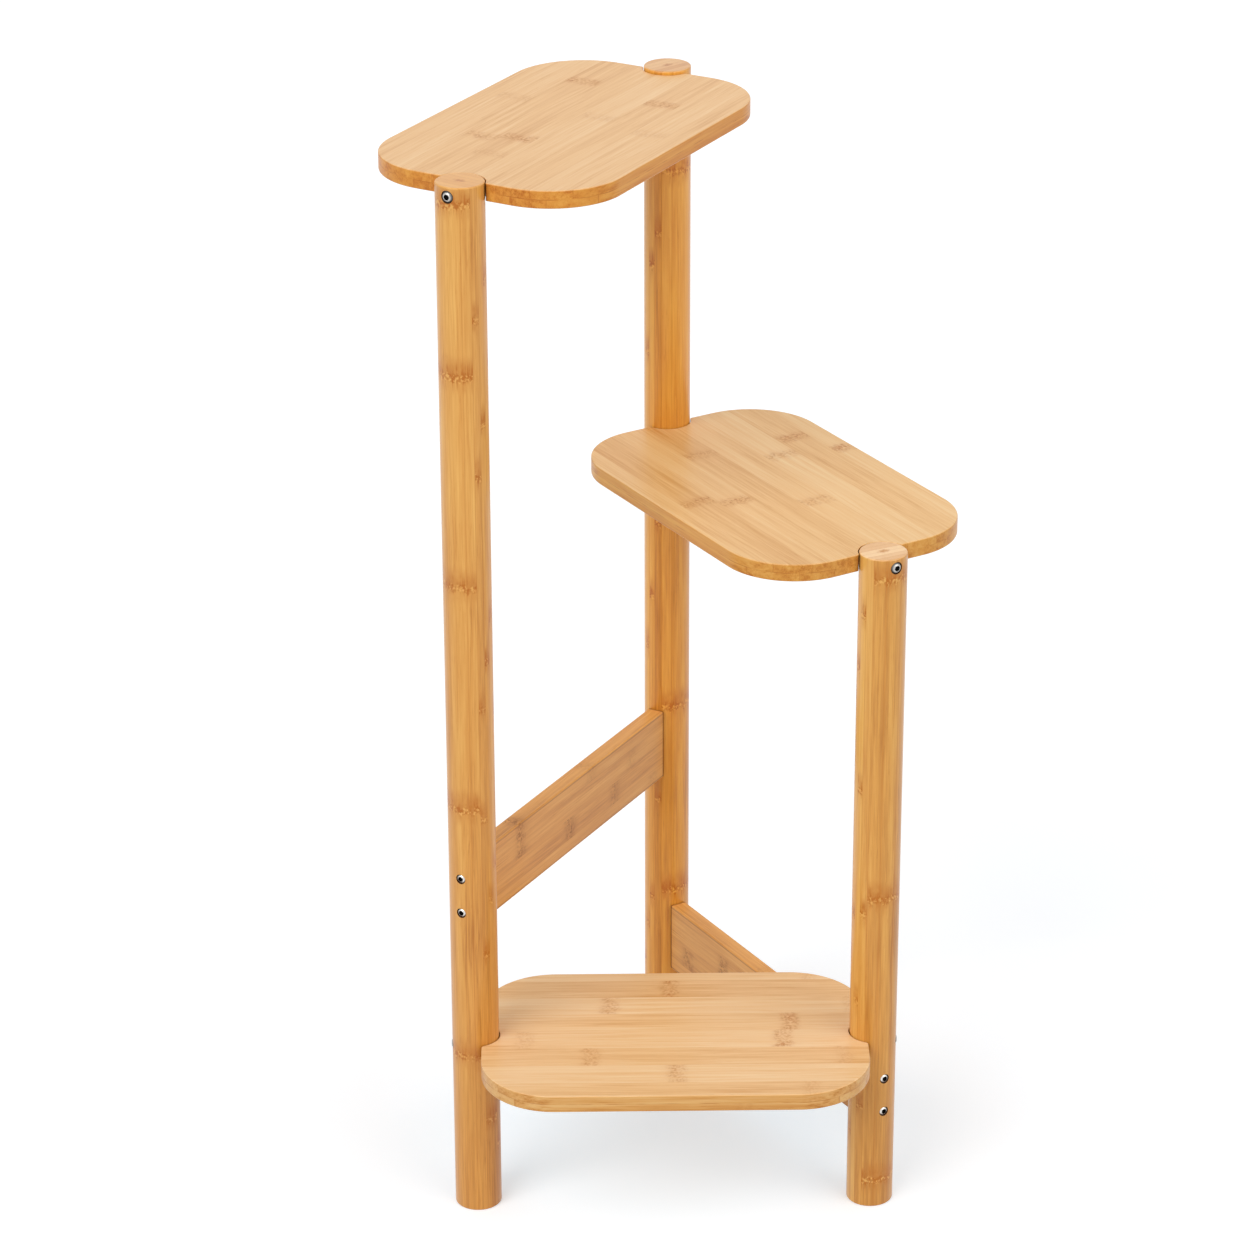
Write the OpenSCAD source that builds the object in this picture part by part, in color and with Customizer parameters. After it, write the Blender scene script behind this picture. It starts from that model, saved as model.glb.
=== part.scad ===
// Three-tier bamboo plant stand: three round posts on the corners of an equal-sided
// triangle, a rounded shelf between each pair of posts at its own height, and two flat
// rails lower down. Every board is held by socket-head bolts that pass through the posts
// into threaded inserts in the board's ends.
// Millimetres. The origin is at floor level, under the middle of the stand's outline;
// +X is right, +Y is to the rear and +Z is up.

/* [Stand] */
// Distance between the centre lines of any two posts
post_pitch = 340; // [320:1:400]
// Height of the top shelf's upper face above the floor
top_shelf_h = 930; // [700:5:1200]
// Height of the middle shelf's upper face above the floor
middle_shelf_h = 610; // [420:5:660]
// Height of the bottom shelf's upper face above the floor
bottom_shelf_h = 163; // [130:1:255]

/* [Posts] */
// Diameter of a post
post_d = 40; // [34:1:46]
// Radius that eases a post's top and foot edges
post_edge_r = 1.4; // [0.5:0.1:3]
// How far the two front posts stand above the shelf that they carry
front_cap_rise = 0.5; // [0.2:0.1:4]
// How far the rear post stands above the top shelf
rear_cap_rise = 3; // [0.2:0.1:8]

/* [Shelves] */
// Width of a shelf across the line between its posts
shelf_w = 214; // [190:1:260]
// Thickness of a shelf
shelf_t = 15; // [14:0.5:18]
// Radius of a shelf's four corners, seen from above
shelf_corner_r = 63; // [40:1:68]
// Radius that eases the shelf's upper and lower edges
shelf_edge_r = 1.2; // [0.5:0.1:3]
// Distance from a post's centre line back to the shelf's straight end
shelf_end_inset = 5; // [2:0.5:8]
// Gap between a post and the round notch that it stands in
notch_clear = 0.8; // [0.3:0.1:0.9]
// Radius that rounds the two corners of a notch's mouth
notch_mouth_r = 3; // [1:0.5:5]

/* [Rails] */
// Height of a rail
rail_h = 65; // [54:1:90]
// Thickness of a rail
rail_t = 15; // [13:0.5:20]
// Radius that eases a rail's long edges
rail_edge_r = 1.2; // [0.5:0.1:3]
// Height of the upper rail's lower edge above the floor
upper_rail_z = 273; // [265:1:470]
// Gap between the bottom shelf's underside and the lower rail's upper edge
lower_rail_drop = 6; // [1:0.5:60]
// Depth of the hollow in a rail's end that fits the post
rail_cope_depth = 0.7; // [0.3:0.1:1.2]
// Gap between a rail's hollow end and its post
rail_clear = 0.3; // [0.1:0.1:0.8]
// Distance between the two bolts in a rail's end
rail_bolt_gap = 32; // [24:1:36]

/* [Shelf bolts] */
// Diameter of a shelf bolt's shank
shelf_bolt_d = 6; // [5:0.5:6.5]
// Diameter of a shelf bolt's domed head
shelf_head_d = 9.6; // [8.5:0.1:11]
// Height of a shelf bolt's head
shelf_head_h = 3.3; // [2.8:0.1:4]
// Depth of the head's seat below the round face of the post
shelf_seat_depth = 2.2; // [2:0.1:3]
// Gap around a shelf bolt's head in its counterbore
shelf_head_clear = 0.5; // [0.2:0.1:1]

/* [Rail bolts] */
// Diameter of a rail bolt's shank
rail_bolt_d = 5; // [4:0.5:6]
// Diameter of a rail bolt's domed head
rail_head_d = 8.2; // [7.5:0.1:9.5]
// Height of a rail bolt's head
rail_head_h = 2.8; // [2.5:0.1:3.5]
// Depth of the head's seat below the round face of the post
rail_seat_depth = 2.5; // [2:0.1:3]
// Gap around a rail bolt's head in its counterbore
rail_head_clear = 0.2; // [0.1:0.1:0.6]

/* [Bolts and inserts] */
// Width across the flats of the hexagon socket in every head
socket_af = 4; // [3:0.5:4]
// Depth of the hexagon socket
socket_depth = 2; // [1.5:0.1:2.2]
// Height of the straight rim under a head's dome
head_rim_h = 0.8; // [0.5:0.1:1.2]
// Gap around a bolt's shank in the post
shank_clear = 0.3; // [0.1:0.1:0.8]
// Bevel on a bolt's tip
tip_bevel = 0.8; // [0.4:0.1:1.2]
// Length of bolt that lies in the board
bolt_reach = 16.5; // [12:0.5:20]
// Length of a threaded insert
insert_len = 18; // [14:1:24]
// Wall of a threaded insert between its bore and its ribs
insert_wall = 1; // [0.6:0.1:1.2]
// Height of the ribs that grip the board
insert_rib_h = 0.6; // [0.3:0.1:0.8]
// Distance from one rib to the next
insert_rib_pitch = 3; // [2:0.5:5]
// Depth of an insert's mouth below the board's end
insert_sink = 0.5; // [0:0.1:2]
// Gap between an insert and its bolt, and between an insert and its hole
thread_clear = 0.1; // [0.05:0.05:0.2]
// Length of the hole past the end of the insert
hole_relief = 3; // [1:0.5:6]

/* [Hidden] */
$fn = 96;

// Posts by number
LEFT = 0;
REAR = 1;
RIGHT = 2;

// Kinds of board, which pick the bolt that holds it
SHELF = 0;
RAIL = 1;

post_r = post_d / 2;
shelf_l = post_pitch - 2 * shelf_end_inset;
notch_r = post_r + notch_clear;
cope_r = post_r + rail_clear;
straight_l = shelf_l - 2 * shelf_corner_r;
straight_w = shelf_w - 2 * shelf_corner_r;

// The rear post's distance behind the line of the two front posts
triangle_depth = post_pitch * sin(60);

// How far the bottom shelf reaches in front of the front posts' line, and how far the
// turned top and middle shelves reach behind it
reach_front = max(shelf_w / 2, post_r);
turned_reach = straight_l / 2 * sin(60) + straight_w / 2 * cos(60) + shelf_corner_r;
reach_rear = max(triangle_depth / 2 + turned_reach, triangle_depth + post_r);
front_line_y = (reach_front - reach_rear) / 2;

POST_XY = [
    [-post_pitch / 2, front_line_y],
    [0, front_line_y + triangle_depth],
    [post_pitch / 2, front_line_y]
];
POST_TOP = [
    top_shelf_h + front_cap_rise,
    top_shelf_h + rear_cap_rise,
    middle_shelf_h + front_cap_rise
];

// Heights of the bolts' centre lines
top_bolt_z = top_shelf_h - shelf_t / 2;
middle_bolt_z = middle_shelf_h - shelf_t / 2;
bottom_bolt_z = bottom_shelf_h - shelf_t / 2;
upper_rail_mid_z = upper_rail_z + rail_h / 2;
lower_rail_mid_z = bottom_shelf_h - shelf_t - lower_rail_drop - rail_h / 2;

// Sizes by kind of board: shank, head, head height, seat, head gap, gap at the board's end
BOLT_D = [shelf_bolt_d, rail_bolt_d];
HEAD_D = [shelf_head_d, rail_head_d];
HEAD_H = [shelf_head_h, rail_head_h];
SEAT_DEPTH = [shelf_seat_depth, rail_seat_depth];
HEAD_CLEAR = [shelf_head_clear, rail_head_clear];
BOARD_START = [notch_r, cope_r];

// Every bolted joint: its post, the post at the board's other end, its height, its kind
JOINTS = [
    [LEFT, REAR, top_bolt_z, SHELF],
    [REAR, LEFT, top_bolt_z, SHELF],
    [REAR, RIGHT, middle_bolt_z, SHELF],
    [RIGHT, REAR, middle_bolt_z, SHELF],
    [LEFT, RIGHT, bottom_bolt_z, SHELF],
    [RIGHT, LEFT, bottom_bolt_z, SHELF],
    for (side = [-1, 1]) each [
        [LEFT, REAR, upper_rail_mid_z + side * rail_bolt_gap / 2, RAIL],
        [REAR, LEFT, upper_rail_mid_z + side * rail_bolt_gap / 2, RAIL],
        [REAR, RIGHT, lower_rail_mid_z + side * rail_bolt_gap / 2, RAIL],
        [RIGHT, REAR, lower_rail_mid_z + side * rail_bolt_gap / 2, RAIL]
    ]
];

// Spare length that carries a cut clear through a face
over = 1;

// How far the arcs at a notch's mouth run past the faces that they join
arc_bite = 0.05;

// Direction from one post to another, in degrees from +X
function heading(from, to) =
    atan2(POST_XY[to].y - POST_XY[from].y, POST_XY[to].x - POST_XY[from].x);

// Puts a board, drawn along X about its own middle, between two posts at a height
module between(from, to, height) {
    middle = (POST_XY[from] + POST_XY[to]) / 2;
    translate([middle.x, middle.y, height])
        rotate(heading(from, to))
            children();
}

// Puts a bolt or insert at a post, with +X pointing out of the post, away from the board
module at_post(post, other, height) {
    translate([POST_XY[post].x, POST_XY[post].y, height])
        rotate(heading(other, post))
            children();
}

// Turns a shape drawn along +Z to lie along +X
module along_x() {
    rotate([0, 90, 0])
        children();
}

// Section of a board as wide as w with its upper face at 0, its four edges eased
module eased_section(w, t, edge_r) {
    translate([-w / 2 + edge_r, -t])
        square([w - 2 * edge_r, t]);
    translate([-w / 2, -t + edge_r])
        square([w, t - 2 * edge_r]);
    for (side = [-1, 1], z = [-t + edge_r, -edge_r])
        translate([side * (w / 2 - edge_r), z])
            circle(edge_r);
}

// Half section of a round disc with eased edges, for turning about its axis
module eased_disc_section(r, t, edge_r) {
    translate([0, -t])
        square([r - edge_r, t]);
    translate([0, -t + edge_r])
        square([r, t - 2 * edge_r]);
    for (z = [-t + edge_r, -edge_r])
        translate([r - edge_r, z])
            circle(edge_r);
}

// A turned rod that stands on the floor, bored and counterbored for its bolts
module post(number) {
    difference() {
        translate([POST_XY[number].x, POST_XY[number].y, POST_TOP[number]])
            rotate_extrude()
                eased_disc_section(post_r, POST_TOP[number], post_edge_r);
        for (joint = JOINTS)
            if (joint[0] == number)
                at_post(joint[0], joint[1], joint[2])
                    post_bore(joint[3]);
    }
}

// The hole that a bolt takes through a post, with the seat for its head
module post_bore(kind) {
    along_x()
        cylinder(d = BOLT_D[kind] + 2 * shank_clear, h = post_d + 2 * over, center = true);
    translate([post_r - SEAT_DEPTH[kind], 0, 0])
        along_x()
            cylinder(d = HEAD_D[kind] + 2 * HEAD_CLEAR[kind], h = SEAT_DEPTH[kind] + over);
}

// A shelf's board before its notches: rounded corners and eased edges
module shelf_blank() {
    for (x = [-straight_l / 2, straight_l / 2], y = [-straight_w / 2, straight_w / 2])
        translate([x, y, 0])
            rotate_extrude()
                eased_disc_section(shelf_corner_r, shelf_t, shelf_edge_r);
    rotate([90, 0, 90])
        linear_extrude(straight_l, center = true)
            eased_section(shelf_w, shelf_t, shelf_edge_r);
    rotate([90, 0, 0])
        linear_extrude(straight_w, center = true)
            eased_section(shelf_l, shelf_t, shelf_edge_r);
}

// What rounds a notch's mouth off, seen from above: each sharp corner between the notch
// and the shelf's end gives way to an arc. The arc runs a hair past both, so that it
// meets each of them along a true edge and not at a tangent
module mouth_waste() {
    centre_x = -shelf_end_inset - notch_mouth_r + arc_bite;
    centre_reach = notch_r + notch_mouth_r - arc_bite;
    centre_y = sqrt(pow(centre_reach, 2) - pow(centre_x, 2));
    touch = [centre_x, centre_y] * notch_r / centre_reach;
    for (side = [0, 1])
        mirror([0, side])
            difference() {
                polygon([
                    [centre_x, centre_y],
                    [-shelf_end_inset + over, centre_y],
                    [-shelf_end_inset + over, touch.y],
                    touch
                ]);
                translate([centre_x, centre_y])
                    circle(notch_mouth_r);
            }
}

// The hole for an insert in a board's end, drawn with the post's centre line at the origin
module insert_hole(kind) {
    hole_end = BOARD_START[kind] + insert_sink + insert_len + hole_relief;
    translate([-hole_end, 0, 0])
        along_x()
            cylinder(d = insert_d(kind) + 2 * thread_clear,
                     h = hole_end - BOARD_START[kind] + over);
}

// A shelf with its upper face at height 0: a notch and an insert's hole at each end
module shelf() {
    difference() {
        shelf_blank();
        for (turn = [0, 180])
            rotate(turn)
                translate([post_pitch / 2, 0, 0]) {
                    translate([0, 0, -shelf_t - over])
                        cylinder(r = notch_r, h = shelf_t + 2 * over);
                    translate([0, 0, -shelf_t - over])
                        linear_extrude(shelf_t + 2 * over)
                            mouth_waste();
                    translate([0, 0, -shelf_t / 2])
                        insert_hole(SHELF);
                }
    }
}

// A rail about its own middle: hollowed ends and two inserts' holes in each
module rail() {
    half_l = post_pitch / 2 - cope_r + rail_cope_depth;
    difference() {
        rotate([90, 0, 90])
            linear_extrude(2 * half_l, center = true)
                translate([0, rail_h / 2])
                    eased_section(rail_t, rail_h, rail_edge_r);
        for (turn = [0, 180])
            rotate(turn)
                translate([post_pitch / 2, 0, 0]) {
                    cylinder(r = cope_r, h = rail_h + 2 * over, center = true);
                    for (z = [-rail_bolt_gap / 2, rail_bolt_gap / 2])
                        translate([0, 0, z])
                            insert_hole(RAIL);
                }
    }
}

// Radius of the ball that a head's dome is cut from
function dome_r(head_d, sag) = (pow(head_d / 2, 2) + pow(sag, 2)) / (2 * sag);

// A domed socket-head bolt. Its tip lies bolt_reach into the board
module bolt(kind) {
    seat_x = post_r - SEAT_DEPTH[kind];
    shank_l = seat_x + BOARD_START[kind] + bolt_reach;
    ball_r = dome_r(HEAD_D[kind], HEAD_H[kind] - head_rim_h);
    shank_r = BOLT_D[kind] / 2;
    color("silver")
        translate([seat_x, 0, 0])
            along_x()
                difference() {
                    rotate_extrude()
                        union() {
                            polygon([
                                [0, -shank_l],
                                [shank_r - tip_bevel, -shank_l],
                                [shank_r, -shank_l + tip_bevel],
                                [shank_r, 0],
                                [0, 0]
                            ]);
                            intersection() {
                                square([HEAD_D[kind] / 2, HEAD_H[kind]]);
                                translate([0, HEAD_H[kind] - ball_r])
                                    circle(ball_r);
                            }
                        }
                    translate([0, 0, HEAD_H[kind] - socket_depth])
                        cylinder(d = socket_af / cos(30), h = socket_depth + over, $fn = 6);
                }
}

// Outer diameter of an insert over its ribs
function insert_d(kind) =
    BOLT_D[kind] + 2 * (thread_clear + insert_wall + insert_rib_h);

// A threaded insert: a sleeve with ribs round it, its mouth just inside the board's end
module insert(kind) {
    bore_r = BOLT_D[kind] / 2 + thread_clear;
    wall_r = bore_r + insert_wall;
    rib_r = wall_r + insert_rib_h;
    ribs = floor(insert_len / insert_rib_pitch);
    color("goldenrod")
        translate([-BOARD_START[kind] - insert_sink - insert_len, 0, 0])
            along_x()
                rotate_extrude()
                    polygon([
                        [bore_r, insert_len],
                        [bore_r, 0],
                        for (i = [0 : ribs - 1]) each [
                            [wall_r, i * insert_rib_pitch],
                            [rib_r, (i + 0.35) * insert_rib_pitch],
                            [rib_r, (i + 0.65) * insert_rib_pitch]
                        ],
                        [wall_r, ribs * insert_rib_pitch],
                        if (ribs * insert_rib_pitch < insert_len) [wall_r, insert_len]
                    ]);
}

// The three posts

module post_front_left() {
    color([0.87, 0.65, 0.38])
        post(LEFT);
}

module post_rear() {
    color([0.85, 0.62, 0.35])
        post(REAR);
}

module post_front_right() {
    color([0.86, 0.63, 0.36])
        post(RIGHT);
}

// The three shelves

module shelf_top() {
    color([0.91, 0.76, 0.55])
        between(LEFT, REAR, top_shelf_h)
            shelf();
}

module shelf_middle() {
    color([0.91, 0.75, 0.54])
        between(REAR, RIGHT, middle_shelf_h)
            shelf();
}

module shelf_bottom() {
    color([0.92, 0.77, 0.56])
        between(LEFT, RIGHT, bottom_shelf_h)
            shelf();
}

// The two rails

module rail_upper() {
    color([0.80, 0.56, 0.32])
        between(LEFT, REAR, upper_rail_mid_z)
            rail();
}

module rail_lower() {
    color([0.78, 0.54, 0.31])
        between(REAR, RIGHT, lower_rail_mid_z)
            rail();
}

// The bolts

module bolt_top_front() {
    at_post(LEFT, REAR, top_bolt_z)
        bolt(SHELF);
}

module bolt_top_rear() {
    at_post(REAR, LEFT, top_bolt_z)
        bolt(SHELF);
}

module bolt_middle_rear() {
    at_post(REAR, RIGHT, middle_bolt_z)
        bolt(SHELF);
}

module bolt_middle_front() {
    at_post(RIGHT, REAR, middle_bolt_z)
        bolt(SHELF);
}

module bolt_bottom_left() {
    at_post(LEFT, RIGHT, bottom_bolt_z)
        bolt(SHELF);
}

module bolt_bottom_right() {
    at_post(RIGHT, LEFT, bottom_bolt_z)
        bolt(SHELF);
}

// Puts the two bolts or the two inserts of a rail's end one above the other
module rail_pair(post, other, mid_z) {
    for (side = [-1, 1])
        at_post(post, other, mid_z + side * rail_bolt_gap / 2)
            children();
}

module rail_bolts_upper_front() {
    rail_pair(LEFT, REAR, upper_rail_mid_z)
        bolt(RAIL);
}

module rail_bolts_upper_rear() {
    rail_pair(REAR, LEFT, upper_rail_mid_z)
        bolt(RAIL);
}

module rail_bolts_lower_rear() {
    rail_pair(REAR, RIGHT, lower_rail_mid_z)
        bolt(RAIL);
}

module rail_bolts_lower_front() {
    rail_pair(RIGHT, REAR, lower_rail_mid_z)
        bolt(RAIL);
}

// The threaded inserts

module insert_top_front() {
    at_post(LEFT, REAR, top_bolt_z)
        insert(SHELF);
}

module insert_top_rear() {
    at_post(REAR, LEFT, top_bolt_z)
        insert(SHELF);
}

module insert_middle_rear() {
    at_post(REAR, RIGHT, middle_bolt_z)
        insert(SHELF);
}

module insert_middle_front() {
    at_post(RIGHT, REAR, middle_bolt_z)
        insert(SHELF);
}

module insert_bottom_left() {
    at_post(LEFT, RIGHT, bottom_bolt_z)
        insert(SHELF);
}

module insert_bottom_right() {
    at_post(RIGHT, LEFT, bottom_bolt_z)
        insert(SHELF);
}

module rail_inserts_upper_front() {
    rail_pair(LEFT, REAR, upper_rail_mid_z)
        insert(RAIL);
}

module rail_inserts_upper_rear() {
    rail_pair(REAR, LEFT, upper_rail_mid_z)
        insert(RAIL);
}

module rail_inserts_lower_rear() {
    rail_pair(REAR, RIGHT, lower_rail_mid_z)
        insert(RAIL);
}

module rail_inserts_lower_front() {
    rail_pair(RIGHT, REAR, lower_rail_mid_z)
        insert(RAIL);
}

post_front_left();
post_rear();
post_front_right();
shelf_top();
shelf_middle();
shelf_bottom();
rail_upper();
rail_lower();
bolt_top_front();
bolt_top_rear();
bolt_middle_rear();
bolt_middle_front();
bolt_bottom_left();
bolt_bottom_right();
rail_bolts_upper_front();
rail_bolts_upper_rear();
rail_bolts_lower_rear();
rail_bolts_lower_front();
insert_top_front();
insert_top_rear();
insert_middle_rear();
insert_middle_front();
insert_bottom_left();
insert_bottom_right();
rail_inserts_upper_front();
rail_inserts_upper_rear();
rail_inserts_lower_rear();
rail_inserts_lower_front();
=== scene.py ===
"""Three-tier bamboo plant stand, bolted together from posts, shelves and rails.

Shapes are worked out in millimetres and become metres when a piece is made. The frame is
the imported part's own: the floor is at height 0, X runs to the right, Y to the rear.
"""

from math import atan2, cos, pi, radians, sin, sqrt, tau

import bmesh
import bpy
import numpy as np
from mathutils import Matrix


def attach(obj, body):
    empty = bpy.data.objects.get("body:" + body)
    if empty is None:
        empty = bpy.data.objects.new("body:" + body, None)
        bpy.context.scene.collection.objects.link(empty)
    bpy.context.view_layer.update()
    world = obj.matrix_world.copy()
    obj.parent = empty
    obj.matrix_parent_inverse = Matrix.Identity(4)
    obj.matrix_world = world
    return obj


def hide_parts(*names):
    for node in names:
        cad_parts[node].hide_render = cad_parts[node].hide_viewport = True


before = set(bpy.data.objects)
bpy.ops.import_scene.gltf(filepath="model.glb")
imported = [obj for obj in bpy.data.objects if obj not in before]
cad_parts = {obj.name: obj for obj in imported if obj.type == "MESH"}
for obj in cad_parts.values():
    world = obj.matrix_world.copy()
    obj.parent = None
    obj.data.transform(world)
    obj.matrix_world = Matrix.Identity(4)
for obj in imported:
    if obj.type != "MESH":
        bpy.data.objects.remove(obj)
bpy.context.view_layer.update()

MM = 0.001

# The stand
POST_PITCH = 340
TOP_SHELF_H = 930
MIDDLE_SHELF_H = 610
BOTTOM_SHELF_H = 163
FRONT_LINE_Y = -106.779
REAR_LINE_Y = FRONT_LINE_Y + POST_PITCH * sin(pi / 3)

# Posts
POST_R = 20
POST_EDGE_R = 1.4
FRONT_POST_PROUD = 0.5
REAR_POST_PROUD = 3
POST_TOP = [TOP_SHELF_H + FRONT_POST_PROUD, TOP_SHELF_H + REAR_POST_PROUD,
            MIDDLE_SHELF_H + FRONT_POST_PROUD]
POST_XY = [(-POST_PITCH / 2, FRONT_LINE_Y), (0, REAR_LINE_Y), (POST_PITCH / 2, FRONT_LINE_Y)]
LEFT, REAR, RIGHT = 0, 1, 2

# Shelves
SHELF_W = 214
SHELF_T = 15
SHELF_CORNER_R = 63
SHELF_EDGE_R = 1.2
SHELF_END_INSET = 5
NOTCH_GAP = 0.8
NOTCH_R = POST_R + NOTCH_GAP
NOTCH_MOUTH_R = 3
NOTCH_EDGE_R = 0.4

# Rails
RAIL_H = 65
RAIL_T = 15
RAIL_EDGE_R = 1.2
RAIL_END_BREAK = 0.25
UPPER_RAIL_LOW_Z = 273
LOWER_RAIL_DROP = 6
UPPER_RAIL_MID_Z = UPPER_RAIL_LOW_Z + RAIL_H / 2
LOWER_RAIL_MID_Z = BOTTOM_SHELF_H - SHELF_T - LOWER_RAIL_DROP - RAIL_H / 2
COPE_GAP = 0.3
COPE_R = POST_R + COPE_GAP
COPE_DEPTH = 0.7
RAIL_HALF_L = POST_PITCH / 2 - COPE_R + COPE_DEPTH
RAIL_BOLT_GAP = 32

# Bolts by the board that they hold: a shelf or a rail
SHELF, RAIL = 0, 1
BOLT_R = [3, 2.5]
HEAD_R = [4.8, 4.1]
HEAD_H = [3.3, 2.8]
SEAT_DEPTH = [2.2, 2.5]
HEAD_CLEAR = [0.5, 0.2]
SHANK_CLEAR = 0.3
BOARD_START = [NOTCH_R, COPE_R]
BOLT_REACH = 16.5
TIP_BEVEL = 0.8
HEAD_RIM_H = 0.8
HEAD_EDGE = 0.15
SOCKET_AF = 4
SOCKET_DEPTH = 2
SOCKET_EDGE = 0.14
INSERT_HOLE_R = [4.8, 4.3]
INSERT_HOLE_DEPTH = 21.5

# Heights of the bolts' centre lines
SHELF_BOLT_Z = [height - SHELF_T / 2 for height in (TOP_SHELF_H, MIDDLE_SHELF_H, BOTTOM_SHELF_H)]
RAIL_PAIR = (-RAIL_BOLT_GAP / 2, RAIL_BOLT_GAP / 2)

# Every board's bolts: their name, their two ends' names and posts, their heights, their kind
BOARD_BOLTS = [
    ("bolt_top_", ("front", "rear"), (LEFT, REAR), [SHELF_BOLT_Z[0]], SHELF),
    ("bolt_middle_", ("rear", "front"), (REAR, RIGHT), [SHELF_BOLT_Z[1]], SHELF),
    ("bolt_bottom_", ("left", "right"), (LEFT, RIGHT), [SHELF_BOLT_Z[2]], SHELF),
    ("rail_bolts_upper_", ("front", "rear"), (LEFT, REAR),
     [UPPER_RAIL_MID_Z + z for z in RAIL_PAIR], RAIL),
    ("rail_bolts_lower_", ("rear", "front"), (REAR, RIGHT),
     [LOWER_RAIL_MID_Z + z for z in RAIL_PAIR], RAIL),
]

# Every bolted joint by its node: its post, the post at the board's other end, heights, kind
JOINTS = {name + end: (post, other, heights, kind)
          for name, ends, posts, heights, kind in BOARD_BOLTS
          for end, post, other in zip(ends, posts, posts[::-1])}

# Steps across half of the window that is left in a surface for a round hole
HALF_WINDOW = 9

# How far inside the edge of a flat face its outer ring lies
FLAT_MARGIN = 0.4

# Edges that turn more than this are creases
CREASE = radians(32)


# Placing and skinning

def add_object(name, data):
    """A new object at the frame's origin, put into the scene."""
    made = bpy.data.objects.new(name, data)
    bpy.context.scene.collection.objects.link(made)
    return made


class Place:
    """A right-angled frame that stands at a point and is turned about the vertical."""

    def __init__(self, x, y, z, turn):
        self.origin = np.array([x, y, z], float)
        self.turn = turn
        self.axes = np.array([[cos(turn), sin(turn), 0], [-sin(turn), cos(turn), 0], [0, 0, 1]])

    def world(self, local):
        """Local points to the stand's frame: each coordinate times its axis, plus the origin."""
        return self.origin + np.asarray(local, float) @ self.axes

    def local(self, world):
        """The way back: the offset from the origin measured along each axis."""
        return (world - self.origin) @ self.axes.T

    def ring(self, along, radius, angle):
        """Points round the X axis, at some place along it."""
        return self.world(np.stack([along + 0 * angle, radius * np.cos(angle),
                                    radius * np.sin(angle)], axis=1))


def heading(start, end):
    """Direction from one post to another."""
    return atan2(POST_XY[end][1] - POST_XY[start][1], POST_XY[end][0] - POST_XY[start][0])


def between(start, end, height):
    """A board's frame: X along it from post to post, its origin midway between them."""
    middle = (np.array(POST_XY[start]) + POST_XY[end]) / 2
    return Place(middle[0], middle[1], height, heading(start, end))


def at_post(post, other, height):
    """A joint's frame on the post's centre line: X points out of it, away from the board."""
    return Place(*POST_XY[post], height, heading(other, post))


def in_turn(angle):
    """The order of angles round a circle. It begins just before 0, so that rounding can't
    send an angle of 0 to the end."""
    return np.argsort(np.mod(angle + 0.01, tau))


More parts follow.
